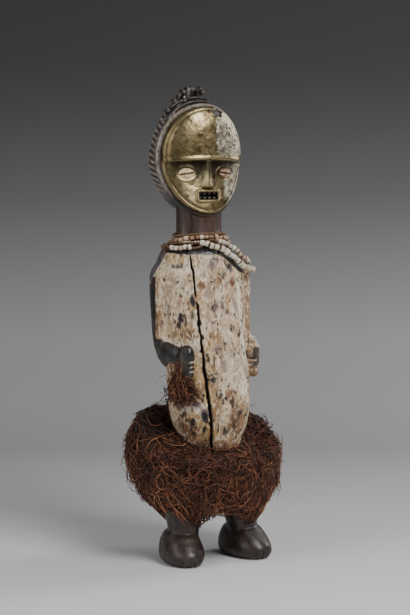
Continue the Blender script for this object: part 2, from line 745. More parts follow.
class Nodes:
    """Short ways to lay out a material's nodes."""

    def __init__(self, name):
        self.material = bpy.data.materials.new(name)
        self.material.use_nodes = True
        self.tree = self.material.node_tree
        self.shader = self.tree.nodes["Principled BSDF"]
        self.space = self.tree.nodes.new("ShaderNodeTexCoord").outputs["Object"]

    def link(self, source, target):
        self.tree.links.new(source, target)

    def put(self, socket, value):
        if isinstance(value, bpy.types.NodeSocket):
            self.link(value, socket)
        elif isinstance(value, tuple) and len(value) == 3:
            socket.default_value = (*value, 1.0)
        else:
            socket.default_value = value

    def attribute(self, name):
        node = self.tree.nodes.new("ShaderNodeAttribute")
        node.attribute_name = name
        return node.outputs["Fac"]

    def scaled(self, x, y, z):
        node = self.tree.nodes.new("ShaderNodeVectorMath")
        node.operation = "MULTIPLY"
        self.link(self.space, node.inputs[0])
        node.inputs[1].default_value = (x, y, z)
        return node.outputs[0]

    def noise(self, scale, detail=3.0, stretch=(1, 1, 1), rough=0.55):
        node = self.tree.nodes.new("ShaderNodeTexNoise")
        node.inputs["Scale"].default_value = scale
        node.inputs["Detail"].default_value = detail
        node.inputs["Roughness"].default_value = rough
        self.link(self.scaled(*stretch), node.inputs["Vector"])
        return node.outputs["Fac"]

    def cells(self, scale, stretch=(1, 1, 1), kind="F1"):
        node = self.tree.nodes.new("ShaderNodeTexVoronoi")
        node.feature = kind
        node.inputs["Scale"].default_value = scale
        self.link(self.scaled(*stretch), node.inputs["Vector"])
        return node.outputs["Distance"]

    def span(self, value, low, high, to_low=0.0, to_high=1.0):
        node = self.tree.nodes.new("ShaderNodeMapRange")
        node.interpolation_type = "SMOOTHSTEP"
        self.put(node.inputs["Value"], value)
        for socket, number in (("From Min", low), ("From Max", high), ("To Min", to_low), ("To Max", to_high)):
            node.inputs[socket].default_value = number
        return node.outputs["Result"]

    def math(self, operation, a, b):
        node = self.tree.nodes.new("ShaderNodeMath")
        node.operation = operation
        node.use_clamp = False
        self.put(node.inputs[0], a)
        self.put(node.inputs[1], b)
        return node.outputs[0]

    def blend(self, share, a, b):
        node = self.tree.nodes.new("ShaderNodeMix")
        node.data_type = "RGBA"
        self.put(node.inputs["Factor"], share)
        self.put(node.inputs["A"], a)
        self.put(node.inputs["B"], b)
        return node.outputs["Result"]

    def ramp(self, value, stops):
        node = self.tree.nodes.new("ShaderNodeValToRGB")
        elements = node.color_ramp.elements
        while len(elements) < len(stops):
            elements.new(0.5)
        for element, (place, colour) in zip(elements, stops):
            element.position = place
            element.color = (*colour, 1.0)
        self.link(value, node.inputs["Fac"])
        return node.outputs["Color"]

    def bump(self, height, strength, distance=0.001, under=None):
        node = self.tree.nodes.new("ShaderNodeBump")
        node.inputs["Strength"].default_value = strength
        node.inputs["Distance"].default_value = distance
        self.link(height, node.inputs["Height"])
        if under is not None:
            self.link(under, node.inputs["Normal"])
        return node.outputs["Normal"]

    def finish(self, colour, roughness, normal=None, **values):
        self.put(self.shader.inputs["Base Color"], colour)
        self.put(self.shader.inputs["Roughness"], roughness)
        if normal is not None:
            self.link(normal, self.shader.inputs["Normal"])
        for name, value in values.items():
            self.put(self.shader.inputs[name.replace("_", " ").title()], value)
        return self.material


def wood_material():
    n = Nodes("carved_wood")
    broad = n.noise(24, 2, (1, 1, 0.7))
    cluster = n.noise(40, 2, (1, 1, 0.6))
    value = n.noise(75, 4, (1, 1, 0.45))
    streak = n.noise(150, 4, (1, 1, 0.14))
    fine = n.noise(330, 4, (1, 1, 0.5), 0.65)
    grit = n.noise(720, 2)
    fleck = n.noise(230, 3, (1, 1, 0.42), 0.6)
    patch = n.noise(58, 4, (1, 1, 0.55))
    # Kaolin, from cream to ochre, over brown wood
    ochre = n.ramp(value, [(0.36, (0.27, 0.145, 0.055)), (0.48, (0.43, 0.265, 0.11)), (0.62, (0.56, 0.38, 0.18))])
    cream = n.ramp(value, [(0.36, (0.36, 0.25, 0.155)), (0.48, (0.52, 0.385, 0.245)), (0.62, (0.68, 0.55, 0.39))])
    kaolin = n.blend(n.span(n.math("SUBTRACT", broad, n.attribute("ochre")), 0.32, 0.50), ochre, cream)
    kaolin = n.blend(n.attribute("brown"), kaolin, n.ramp(streak, [(0.4, (0.14, 0.065, 0.03)), (0.6, (0.33, 0.18, 0.085))]))
    kaolin = n.blend(n.span(streak, 0.42, 0.34, 0, 0.55), kaolin, (0.25, 0.14, 0.065))
    kaolin = n.blend(n.attribute("pale"), kaolin, (0.74, 0.63, 0.48))
    pale_specks = n.math("ADD", fine, n.math("MULTIPLY", n.math("SUBTRACT", cluster, 0.5), 0.35))
    kaolin = n.blend(n.span(pale_specks, 0.53, 0.62, 0, 0.8), kaolin, (0.80, 0.70, 0.54))
    kaolin = n.blend(n.span(fine, 0.44, 0.35, 0, 0.75), kaolin, (0.22, 0.125, 0.06))
    kaolin = n.blend(n.span(patch, 0.63, 0.67, 0, 0.6), kaolin, (0.19, 0.14, 0.145))
    kaolin = n.blend(n.span(patch, 0.365, 0.33, 0, 0.5), kaolin, (0.27, 0.10, 0.045))
    kaolin = n.blend(n.attribute("purple"), kaolin, (0.155, 0.105, 0.115))
    dark_specks = n.math("ADD", fleck, n.math("MULTIPLY", n.math("SUBTRACT", 0.5, cluster), 0.45))
    kaolin = n.blend(n.span(dark_specks, 0.60, 0.64, 0, 0.95), kaolin, (0.035, 0.022, 0.016))
    kaolin = n.blend(n.span(grit, 0.62, 0.70, 0, 0.55), kaolin, (0.09, 0.055, 0.035))
    # Dark wood, handled and oiled
    dark = n.ramp(n.noise(60, 4), [(0.35, (0.010, 0.009, 0.008)), (0.5, (0.021, 0.018, 0.015)), (0.68, (0.060, 0.048, 0.038))])
    red = n.ramp(streak, [(0.35, (0.020, 0.010, 0.007)), (0.7, (0.080, 0.038, 0.026))])
    dark = n.blend(n.attribute("red"), dark, red)
    dark = n.blend(n.attribute("purple"), dark, n.ramp(fine, [(0.4, (0.06, 0.05, 0.055)), (0.65, (0.22, 0.19, 0.20))]))
    dark = n.blend(n.span(fine, 0.60, 0.72, 0, 0.5), dark, (0.16, 0.12, 0.09))
    dark = n.blend(n.attribute("ridge"), dark, n.ramp(fine, [(0.4, (0.18, 0.13, 0.09)), (0.62, (0.50, 0.41, 0.31))]))
    worn = n.math("MULTIPLY", n.math("SUBTRACT", streak, 0.5), 0.9)
    coat = n.span(n.math("ADD", n.attribute("coat"), worn), 0.42, 0.58)
    colour = n.blend(coat, dark, kaolin)
    colour = n.blend(n.math("MULTIPLY", n.attribute("stain"), 0.8), colour, (0.17, 0.065, 0.03))
    colour = n.blend(n.attribute("shade"), colour, (0.012, 0.009, 0.009))
    roughness = n.blend(coat, n.span(value, 0.3, 0.7, 0.26, 0.5), n.span(fine, 0.3, 0.7, 0.62, 0.88))
    height = n.math("ADD", n.math("MULTIPLY", fine, 0.5), n.math("MULTIPLY", streak, 0.6))
    return n.finish(colour, roughness, n.bump(height, 0.5, 0.0012))


def brass_material():
    n = Nodes("sheet_brass")
    broad = n.noise(30, 4)
    mottle = n.noise(120, 4)
    fine = n.noise(500, 3)
    olive = n.ramp(broad, [(0.34, (0.12, 0.085, 0.035)), (0.5, (0.25, 0.195, 0.095)), (0.68, (0.36, 0.30, 0.17))])
    olive = n.blend(n.span(mottle, 0.56, 0.68, 0, 0.7), olive, (0.10, 0.06, 0.025))
    bare = n.ramp(mottle, [(0.35, (0.26, 0.22, 0.15)), (0.52, (0.52, 0.46, 0.34)), (0.7, (0.68, 0.62, 0.50))])
    worn = n.span(n.math("ADD", n.attribute("worn"), n.math("MULTIPLY", n.math("SUBTRACT", broad, 0.5), 1.2)), 0.35, 0.65)
    colour = n.blend(worn, olive, bare)
    colour = n.blend(n.attribute("shade"), colour, (0.030, 0.021, 0.014))
    dirt = n.span(fine, 0.60, 0.70, 0, 0.8)
    colour = n.blend(n.math("MULTIPLY", dirt, n.attribute("worn")), colour, (0.05, 0.035, 0.025))
    roughness = n.blend(worn, n.span(mottle, 0.3, 0.7, 0.26, 0.44), n.span(mottle, 0.3, 0.7, 0.34, 0.58))
    normal = n.bump(n.math("ADD", n.math("MULTIPLY", mottle, 0.8), n.math("MULTIPLY", fine, 0.3)), 0.35, 0.0012)
    return n.finish(colour, roughness, normal, metallic=0.92)


def shell_material(name, stained):
    n = Nodes(name)
    mottle = n.noise(260, 3)
    pale = [(0.35, (0.55, 0.36, 0.16)), (0.5, (0.72, 0.55, 0.32)), (0.68, (0.82, 0.72, 0.52))]
    brown = [(0.35, (0.16, 0.07, 0.035)), (0.5, (0.36, 0.19, 0.11)), (0.68, (0.60, 0.44, 0.32))]
    colour = n.blend(n.attribute("shade"), n.ramp(mottle, brown if stained else pale), (0.03, 0.015, 0.008))
    normal = n.bump(mottle, 0.15, 0.0006)
    return n.finish(colour, 0.42 if stained else 0.24, normal)


def bead_material(name, low, middle, high, spread):
    n = Nodes(name)
    tone = n.attribute("tone")
    mottle = n.noise(500, 3)
    colour = n.ramp(tone, [(0.0, low), (0.5, middle), (1.0, high)])
    colour = n.blend(n.span(mottle, 0.55, 0.72, 0, spread), colour, (0.09, 0.055, 0.035))
    colour = n.blend(n.attribute("shade"), colour, (0.035, 0.022, 0.014))
    return n.finish(colour, n.span(mottle, 0.3, 0.7, 0.4, 0.65), n.bump(mottle, 0.3, 0.0008))


def cord_material():
    n = Nodes("cord_fibre")
    fine = n.noise(900, 3)
    colour = n.ramp(fine, [(0.35, (0.05, 0.025, 0.012)), (0.55, (0.16, 0.09, 0.045)), (0.7, (0.27, 0.17, 0.09))])
    return n.finish(colour, 0.85, n.bump(fine, 0.6, 0.0006))


def raffia_material():
    n = Nodes("raffia")
    tone = n.attribute("tone")
    fine = n.noise(260, 2, (1, 1, 1))
    colour = n.ramp(tone, [
        (0.0, (0.016, 0.007, 0.005)),
        (0.35, (0.075, 0.024, 0.012)),
        (0.7, (0.24, 0.078, 0.032)),
        (1.0, (0.46, 0.20, 0.09)),
    ])
    colour = n.blend(n.span(fine, 0.45, 0.65, 0, 0.5), colour, (0.03, 0.013, 0.009))
    return n.finish(colour, 0.62)


# Pieces

def add_figure(material):
    field = carve_figure()
    points, triangles, quads = field.surface(FIGURE_ADAPTIVITY)
    obj = new_mesh("carved_figure", to_blender(points), [triangles, quads])
    x, d, z = points.T
    zone = figure_zones(x, d, z)
    for name, values in zone.items():
        paint(obj, name, values)
    obj.data.materials.append(material)
    return obj


def figure_zones(x, d, z):
    """Where the kaolin lies, and where the wood is red, worn, stained, marked or in dark hollows."""
    torso = torso_form(x, d, z)
    arms = {side: np.minimum(upper_arm_form(side)(x, d, z), forearm_form(side)(x, d, z)) for side in (RIGHT, LEFT)}
    hands = {side: hand_form(side)(x, d, z) for side in (RIGHT, LEFT)}
    legs = np.minimum(leg_form(RIGHT)(x, d, z), leg_form(LEFT)(x, d, z))
    seen = 0.883 * x + 0.469 * d
    ragged = 1.5 * noise(x, d, z, 9, 8) + 1.1 * noise(x, d, z, 4, 9)
    zone = {name: np.zeros_like(x) for name in ("red", "shade", "stain", "purple", "pale", "brown")}

    def darker(name, values):
        zone[name] = np.maximum(zone[name], values)

    middle, half_wide, half_deep = between(TORSO_STATIONS, z)
    around = np.degrees(np.arctan2(x / half_wide, (d - middle) / half_deep))
    under_beads = np.interp(around, *KAOLIN_TOP) - z + 0.6 * ragged
    body = smooth(under_beads, 0, 2.5) * smooth(z, 128, 140) * smooth(legs - torso, -3, 0)
    front = smooth(d - middle, -40, -10)
    coat = body * mix(0.62, 1.0, front)
    ochre = 0.08 * smooth(-x, -10, 40) + 0.10 * smooth(200 - z, -30, 40)
    for kind, mx, mz, wide, high in TORSO_MARKS:
        q = np.hypot((x - mx) / wide, (z - mz) / high) + 0.3 * noise(x, d, z, 3.2, 17)
        darker(kind, smooth(1.35 - q, 0, 0.5) * smooth(d - middle, 5, 15) * body)

    # Right arm: bare at its side, kaolin on its front, a pale ridge along the forearm
    on_right = smooth(torso - arms[RIGHT], 0.5, 2.5)
    arm_edge = seen + 60 + ragged
    ridge_line = z - (305 - 0.34 * (seen + 58)) + 0.8 * ragged
    painted = np.maximum(smooth(arm_edge, -1, 1.5) * smooth(z, 300, 306), smooth(ridge_line, -1, 1) * smooth(seen, -61, -58))
    coat = mix(coat, 0.02 + 0.95 * painted, on_right)
    darker("brown", 0.8 * np.exp(-(((arm_edge - 2.5) / 2.5) ** 2)) * smooth(z, 306, 312) * on_right)
    near = smooth(seen, -62, -54) * smooth(-seen, 4, 12) * (d > middle)
    darker("pale", 0.95 * np.exp(-(((ridge_line - 3.5) / 3.5) ** 2)) * near)

    # Right shoulder: a bare bevel with a pale lower edge
    slant = z - (417 + (seen + 46) * 1.75) + 0.5 * ragged
    shoulder = smooth(slant, -1, 1) * smooth(-seen, 44, 47) * smooth(z, 366, 376)
    coat = coat * (1 - 0.97 * shoulder)
    darker("purple", 0.9 * shoulder)
    edge_line = np.exp(-((slant / 1.6) ** 2)) * smooth(-seen, 42, 46) * smooth(z, 374, 380)
    darker("pale", 0.95 * edge_line)
    coat = np.maximum(coat, 0.9 * edge_line * body)
    darker("red", smooth(-seen, 58, 62) * smooth(z, 374, 378) * smooth(-z, -392, -386))

    # Left arm: brown, with a pale forearm
    on_left = smooth(torso - arms[LEFT], 0.2, 1.5)
    upper = smooth(z, 304, 310)
    darker("brown", 0.85 * on_left * upper)
    darker("pale", 0.5 * on_left * (1 - upper) * smooth(z, 284, 292))
    coat = mix(coat, 0.62 + 0.3 * (1 - upper), on_left * smooth(seen, 40, 50))

    # Hands: the right one bare with pale gaps between the fingers, the left one tan and black
    for side in (RIGHT, LEFT):
        on_hand = smooth(np.minimum(torso, arms[side]) - hands[side], 0.3, 1.5)
        along, out = hand_axes(side, x, d)
        gaps = np.zeros_like(x)
        for k in (-1, 0, 1):
            gaps += np.exp(-(((z - HAND_Z + FINGER_PITCH / 2 - k * FINGER_PITCH + 0.12 * along) / 1.5) ** 2))
        if side == RIGHT:
            tips = np.clip(gaps, 0, 1) * smooth(along, 4.5, 7.5) * on_hand
            coat = np.maximum(mix(coat, 0.02, on_hand), tips)
            darker("pale", 0.9 * tips)
        else:
            inner = smooth(seen + 0.5 * ragged, 71, 68)
            blotch = smooth(noise(x, d, z, 7, 19) + 0.25, 0, 0.3) * smooth(out, -2, 3) * (1 - inner)
            coat = mix(coat, 0.85, on_hand)
            darker("brown", on_hand * mix(0.75, 0.35, inner))
            darker("shade", 0.9 * blotch * on_hand * smooth(z, 262, 268))
            darker("stain", 0.8 * on_hand * smooth(-z, -262, -256))
            darker("shade", 0.6 * np.clip(gaps, 0, 1) * on_hand * smooth(along, 0, 5))

    neck = smooth(z, 428, 434) * smooth(482 - z, 0, 10)
    darker("red", np.clip(neck + 0.35 * smooth(130 - z, 0, 40), 0, 1))
    angle, radius, outer = crest_polar(x, z)
    on_tress = smooth(radius, outer - 16, outer - 5) * smooth(np.abs(d - TRESS_MIDDLE), 15, 11) * smooth(z, 496, 504)
    ridge_top = np.clip(0.5 + 0.5 * np.cos(2 * np.pi * notch_phase(x, d, z)), 0, 1) ** 2
    edge = face_edge(x, z)
    band = np.exp(-(((edge - 3.6) / 2.2) ** 2)) * smooth(-np.abs(d - rim_forward(z) + 6), -7, -3)
    ridge = on_tress * ridge_top * mix(0.95, 0.5, smooth(angle, 44, 60)) + 0.6 * band * smooth(z, 490, 510)
    darker("shade", on_tress * (1 - ridge_top) * 0.7)
    cx, wide = between(CRACK_STATIONS, z)
    in_crack = smooth(torso_front(x, z) - d, 0.5, 1.6) * smooth(-np.abs(x - cx), -3.6, -2.4) * smooth(d, 10, 20)
    in_run = smooth(z, 148, 152) * smooth(432 - z, 0, 6) * (1 - smooth(z, 352, 355) * smooth(364 - z, 0, 3))
    darker("shade", in_crack * in_run)
    pits = smooth(noise(x, d, z * 0.45, 4.2, 3), 0.56, 0.70) * body
    darker("shade", 0.85 * pits * smooth(np.minimum(arms[RIGHT], arms[LEFT]) - torso, -1, 1))
    zone.update(coat=np.clip(coat, 0, 1), ridge=np.clip(ridge, 0, 1), ochre=ochre)
    return zone


def add_teeth(material):
    """Two rows of small even teeth that stand in the mouth, as part of the wood."""
    verts, faces = [], []
    floor = float(face_depth(np.array(0.0), np.array(MOUTH_Z))) - WOOD_UNDER_PLATE - MOUTH_DEEP
    pitch = 2 * MOUTH_HALF_WIDE / TEETH
    for k in range(TEETH):
        for row in (-1, 1):
            cx = (k - (TEETH - 1) / 2) * pitch
            half = np.array([pitch * 0.34, MOUTH_DEEP * 0.5, 2.3])
            centre = np.array([cx, floor + MOUTH_DEEP / 2, MOUTH_Z + row * (MOUTH_HALF_HIGH - 1.6)])
            u = np.linspace(-np.pi, np.pi, 17)[:-1]
            v = np.linspace(-np.pi / 2, np.pi / 2, 9)
            def rounded(t):
                return np.sign(t) * np.abs(t) ** 0.4
            ring = np.stack([
                rounded(np.cos(v))[:, None] * rounded(np.cos(u))[None, :],
                rounded(np.cos(v))[:, None] * rounded(np.sin(u))[None, :],
                rounded(np.sin(v))[:, None] * np.ones((1, 16)),
            ], -1)
            start = sum(len(p) for p in verts)
            verts.append((centre + ring.reshape(-1, 3) * half))
            faces.append(grid_faces(9, 16, closed=True)[:, ::-1] + start)
    obj = new_mesh("teeth", to_blender(np.concatenate(verts)), [np.concatenate(faces)])
    obj.data.materials.append(material)
    for name, value in (("red", 0.3), ("ridge", 0.12), ("shade", 0.2)):
        paint(obj, name, np.full(len(obj.data.vertices), value))
    return obj


def add_face_plate(material):
    rows, columns = 190, 132
    z = HEAD_Z + FACE_HEIGHT / 2 * np.linspace(-0.9995, 0.9995, rows)[:, None]
    share = np.linspace(-1, 1, columns)[None, :]
    share = np.sin(share * np.pi / 2) * 0.35 + share * 0.65
    x = share * face_half(z)
    z = z + 0 * x
    hammered = 0.22 * noise(x, 0 * x, z, 7, 21) + 0.10 * noise(x, 0 * x, z, 3, 22)
    edge = face_edge(x, z)
    rolled = 0.8 * np.exp(-(((edge + 1.6) / 1.1) ** 2)) - 0.5 * np.exp(-(((edge + 4.6) / 1.3) ** 2))
    pits, pit_marks = plate_pits(x, z)
    inside = smooth(-edge, 0, 3)
    d = face_depth(x, z) + hammered * inside + rolled - pits
    angle = np.arctan2((z - PLATE_LOSS_Z) / PLATE_LOSS_HALF_HIGH, (x - PLATE_LOSS_X) / PLATE_LOSS_HALF_WIDE)
    ragged = 1 + 0.14 * np.sin(5 * angle) + 0.06 * np.sin(13 * angle + 1)
    loss = np.hypot((x - PLATE_LOSS_X) / PLATE_LOSS_HALF_WIDE, (z - PLATE_LOSS_Z) / PLATE_LOSS_HALF_HIGH) - ragged
    gone = (mouth_edge(x, z) < 0) | (loss < 0)
    faces = grid_faces(rows, columns)
    faces = faces[~gone.ravel()[faces].all(axis=1)]
    obj = new_mesh("brass_face", to_blender(np.stack([x, d, z], -1)), [faces])
    up = (z - HEAD_Z) / (FACE_HEIGHT / 2)
    worn = smooth(x, -4, 24) * smooth(z, 545, 556) * 0.9 + smooth(x, 14, 34) * smooth(545 - z, 0, 10) * 0.8
    under_brow = smooth(BROW_Z + 1 - z, 0, 3) * smooth(z, 516, 534)
    beside_nose = np.exp(-(((np.abs(x) - 11) / 5) ** 2)) * smooth(z, 500, 512) * smooth(BROW_Z - z, 0, 4)
    shade = np.clip(0.8 * under_brow * smooth(-np.abs(x), -56, -40) + 0.5 * beside_nose + pit_marks, 0, 0.92)
    shade = np.maximum(shade, 0.7 * np.exp(-((edge + 4.4) / 1.4) ** 2) * smooth(-up, -0.9, 0.2))
    paint(obj, "worn", worn.ravel())
    paint(obj, "shade", shade.ravel())
    bpy.context.view_layer.objects.active = obj
    thick = obj.modifiers.new("sheet", "SOLIDIFY")
    thick.thickness = 0.9 * MM
    thick.offset = 1.0
    drop_loose(obj)
    apply_modifiers(obj)
    obj.data.materials.append(material)
    return obj


def plate_pits(x, z):
    """Nail holes and dents in the worn side of the forehead."""
    rng = np.random.default_rng(31)
    depth = np.zeros_like(x)
    marks = np.zeros_like(x)
    for _ in range(46):
        px, pz = rng.uniform(8, 54), rng.uniform(550, 592)
        size = rng.uniform(0.8, 1.7)
        spot = np.exp(-(((x - px) ** 2 + (z - pz) ** 2) / size**2))
        depth += 0.7 * spot
        marks += 0.9 * spot
    return depth, np.clip(marks, 0, 1)


def drop_loose(obj):
    import bmesh
    bm = bmesh.new()
    bm.from_mesh(obj.data)
    bmesh.ops.delete(bm, geom=[v for v in bm.verts if not v.link_faces], context="VERTS")
    bmesh.ops.recalc_face_normals(bm, faces=bm.faces)
    bm.to_mesh(obj.data)
    bm.free()


def apply_modifiers(obj):
    depsgraph = bpy.context.evaluated_depsgraph_get()
    mesh = bpy.data.meshes.new_from_object(obj.evaluated_get(depsgraph))
    obj.modifiers.clear()
    obj.data = mesh


def add_cowrie(name, side, material):
    rows, columns = 56, 72
    polar = np.linspace(0.001, np.pi - 0.001, rows)[:, None]
    around = np.linspace(0, 2 * np.pi, columns, endpoint=False)[None, :]
    long = np.cos(polar) + 0 * around
    cross = np.sin(polar) * np.cos(around)
    out = np.sin(polar) * np.sin(around)
    egg = 1 + 0.12 * side * long
    a, b, c = 11 * long, 7.5 * cross * egg, 6 * out
    slit = np.exp(-((b / 0.95) ** 2)) * smooth(out, 0, 0.5) * smooth(1 - np.abs(long), 0.02, 0.2)
    lips = np.exp(-(((np.abs(b) - 2.4) / 1.5) ** 2)) * smooth(out, 0, 0.5)
    teeth = (0.5 - 0.5 * np.cos(2 * np.pi * a / 1.75)) * np.exp(-(((np.abs(b) - 1.7) / 1.1) ** 2)) * smooth(out, 0.2, 0.6)
    c = c - 2.6 * slit + 0.5 * lips - 0.5 * teeth
    tilt = -side * math.radians(8)
    yaw = -side * math.radians(14)
    px = a * math.cos(tilt) - b * math.sin(tilt)
    pz = a * math.sin(tilt) + b * math.cos(tilt)
    centre_depth = float(face_depth(np.array(EYE_X * 1.0), np.array(EYE_Z)))
    x = side * EYE_X + px * math.cos(yaw) - c * math.sin(yaw) * -1
    d = centre_depth + px * math.sin(yaw) + c * math.cos(yaw)
    obj = new_mesh(name, to_blender(np.stack([x, d, EYE_Z + pz], -1)), [grid_faces(rows, columns, closed=True)])
    paint(obj, "shade", np.clip(slit * 1.3 + 0.35 * teeth, 0, 1).ravel())
    obj.data.materials.append(material)
    drop_loose(obj)
    return obj


# Neck strings

def shoulder_profile():
    """Heights down the shoulders from the neck, with the distance passed at each."""
    z = np.arange(NECK_STRING_TOP, 370, -0.5)
    deep = between(TORSO_STATIONS, z)[2]
    passed = np.concatenate([[0], np.cumsum(np.hypot(0.5, np.diff(deep)))])
    return z, passed


def string_path(string, count=720):
    """The middle of a neck string, as a closed run of points, with their angles in degrees."""
    degrees = np.linspace(-180, 180, count, endpoint=False)
    marks, downs, lifts = np.array(string["run"], float).T
    down = np.interp(degrees, marks, downs, period=360)
    lift = np.interp(degrees, marks, lifts, period=360)
    window = np.hanning(2 * int(count / 72) + 3)
    window /= window.sum()
    side = len(window) // 2
    down, lift = (np.convolve(np.pad(v, side, mode="wrap"), window, "valid") for v in (down, lift))
    across, along = np.sin(np.radians(degrees)), np.cos(np.radians(degrees))
    heights, passed = shoulder_profile()
    z = np.interp(down, passed, heights)
    forward, half_wide, half_deep = between(TORSO_STATIONS, z)
    above, below = between(TORSO_STATIONS, z + 1), between(TORSO_STATIONS, z - 1)
    wide_slope = np.arctan2(below[1] - above[1], 2)
    deep_slope = np.arctan2(below[2] - above[2], 2)
    slope = mix(deep_slope, wide_slope, across**2)
    radius = max([b[3] for b in string["beads"]], default=string["thread"])
    out = radius + STRING_CLEARANCE + lift
    over_arm = (ARM_PROUD + LEFT_ARM_OUT * 0.6 * (across > 0)) * across**2 * smooth(-z, -ARM_TOP, -ARM_FULL)
    path = np.stack([
        (half_wide + out * np.cos(slope) + over_arm) * across,
        forward + (half_deep + out * np.cos(slope)) * along,
        z + out * np.sin(slope),
    ], -1)
    return path, degrees


def run_frames(path, closed=True):
    """Distance along a path and, at each point, its direction and two directions across it."""
    ahead = np.roll(path, -1, 0) - np.roll(path, 1, 0) if closed else np.gradient(path, axis=0)
    ahead = ahead / np.linalg.norm(ahead, axis=1, keepdims=True)
    up = np.array([0, 0, 1.0])
    out = np.cross(up, ahead)
    out = out / np.linalg.norm(out, axis=1, keepdims=True)
    return ahead, out, np.cross(ahead, out)


def place_along(path, spots):
    """Points and frames at distances along a closed path."""
    closed = np.vstack([path, path[:1]])
    steps = np.linalg.norm(np.diff(closed, axis=0), axis=1)
    passed = np.concatenate([[0], np.cumsum(steps)])
    spots = np.asarray(spots) % passed[-1]
    points = np.stack([np.interp(spots, passed, closed[:, k]) for k in range(3)], -1)
    ahead, out, up = run_frames(path)
    index = np.searchsorted(passed, spots) % len(path)
    return points, ahead[index], out[index], up[index]


def string_length(path):
    return np.linalg.norm(path - np.roll(path, 1, 0), axis=1).sum()


def add_tube(name, path, radius, material, sides=10, twist=0.0):
    """A closed ring of cord along a path, with strands twisted round it."""
    ahead, out, up = run_frames(path)
    turn = np.linspace(0, 2 * np.pi, sides, endpoint=False)
    steps = np.arange(len(path))[:, None]
    swell = 1 + 0.16 * np.cos(3 * (turn[None, :] + twist * steps)) if twist else 1 + 0 * steps * turn[None, :]
    ring = path[:, None, :] + radius * swell[..., None] * (
        np.cos(turn)[None, :, None] * out[:, None, :] + np.sin(turn)[None, :, None] * up[:, None, :])
    rows = len(path)
    i = np.arange(rows)[:, None]
    j = np.arange(sides)[None, :]
    a = i * sides + j
    b = i * sides + (j + 1) % sides
    c = ((i + 1) % rows) * sides + (j + 1) % sides
    e = ((i + 1) % rows) * sides + j
    faces = np.stack([a, b, c, e], -1).reshape(-1, 4)
    obj = new_mesh(name, to_blender(ring.reshape(-1, 3)), [faces])
    obj.data.materials.append(material)
    return obj


BEAD_PROFILE = [(-0.5, 0.42), (-0.5, 0.78), (-0.42, 0.93), (-0.2, 1.0), (0.2, 1.0), (0.42, 0.93), (0.5, 0.78), (0.5, 0.42)]


def add_beads(name, string, tones, material, seed):
    """Separate beads threaded one after another along a string's path."""
    rng = np.random.default_rng(seed)
    path, degrees = string_path(string)
    total = string_length(path)
    spots = np.arange(0, total, 0.5)
    places, ahead, out, up = place_along(path, spots)
    angles = degrees[np.minimum((spots / total * len(degrees)).astype(int), len(degrees) - 1)]
    steps = np.linalg.norm(np.diff(np.vstack([path, path[:1]]), axis=0), axis=1)
    angles = np.interp(spots, np.concatenate([[0], np.cumsum(steps)]), np.append(degrees, 180))
    sides = 16
    turn = np.linspace(0, 2 * np.pi, sides, endpoint=False)
    verts, faces, tone, shade = [], [], [], []
    for first, last, lengths, full in string["beads"]:
        runs = [(first, min(last, 180))] + ([(-180, last - 360)] if last > 180 else [])
        for low, high in runs:
            at, end = (np.interp(v, angles, spots) for v in (low, high))
            while at < end:
                size = rng.uniform(*lengths)
                k = min(int((at + size / 2) / 0.5), len(spots) - 1)
                at += size + rng.uniform(0.2, 0.8)
                radius = full * rng.uniform(0.86, 1.0)
                lean = rng.normal(0, 0.10, 2)
                axis = ahead[k] + lean[0] * out[k] + lean[1] * up[k]
                axis /= np.linalg.norm(axis)
                side = np.cross(up[k], axis)
                side /= np.linalg.norm(side)
                top = np.cross(axis, side)
                centre = places[k] + 0.25 * rng.normal() * out[k] + 0.4 * rng.normal() * up[k]
                squash = 1 + 0.07 * np.cos(2 * turn + rng.uniform(0, 6)) + 0.04 * np.cos(3 * turn + rng.uniform(0, 6))
                spoke = (squash * np.cos(turn))[:, None] * side + (squash * np.sin(turn))[:, None] * top
                slant = rng.normal(0, 0.05, 2)
                start = len(verts) * len(BEAD_PROFILE) * sides
                verts.append(np.concatenate([
                    centre + axis * size * (along + np.sign(along) * slant[0] * np.cos(turn))[:, None] + radius * r * spoke
                    for along, r in BEAD_PROFILE
                ]))
                rows = len(BEAD_PROFILE)
                j = np.arange(sides)
                n = (j + 1) % sides
                last_row = (rows - 1) * sides
                faces.append(grid_faces(rows, sides, closed=True) + start)
                faces.append(start + np.stack([j, last_row + j, last_row + n, n], -1))
                tone.append(np.full(rows * sides, rng.choice(tones) + rng.normal(0, 0.07)))
                shade.append(np.repeat([0.95, 0.7, 0.25, 0, 0, 0.25, 0.7, 0.95], sides))
    obj = new_mesh(name, to_blender(np.concatenate(verts)), [np.concatenate(faces)])
    paint(obj, "tone", np.clip(np.concatenate(tone), 0, 1))
    paint(obj, "shade", np.concatenate(shade))
    obj.data.materials.append(material)
    return obj


def add_loose_threads(material):
    """Dark strings that hang over the right shoulder from the necklace."""
    rng = np.random.default_rng(76)
    count, steps = 6, 12
    t = np.linspace(0, 1, steps)[None, :, None]
    start = np.array([-38, -4, 434]) + rng.normal(0, 1.5, (count, 3)) * np.array([1, 3, 1])
    end = np.array([-60, 4, 408]) + rng.normal(0, 1.5, (count, 3)) * np.array([1, 5, 4])
    middle = np.array([-56, 2, 432]) + rng.normal(0, 1.5, (count, 3))
    path = (1 - t) ** 2 * start[:, None] + 2 * t * (1 - t) * middle[:, None] + t**2 * end[:, None]
    return strands("loose_threads", path, rng.uniform(0.9, 1.5, count), np.full(count, 0.1), material)


# Raffia

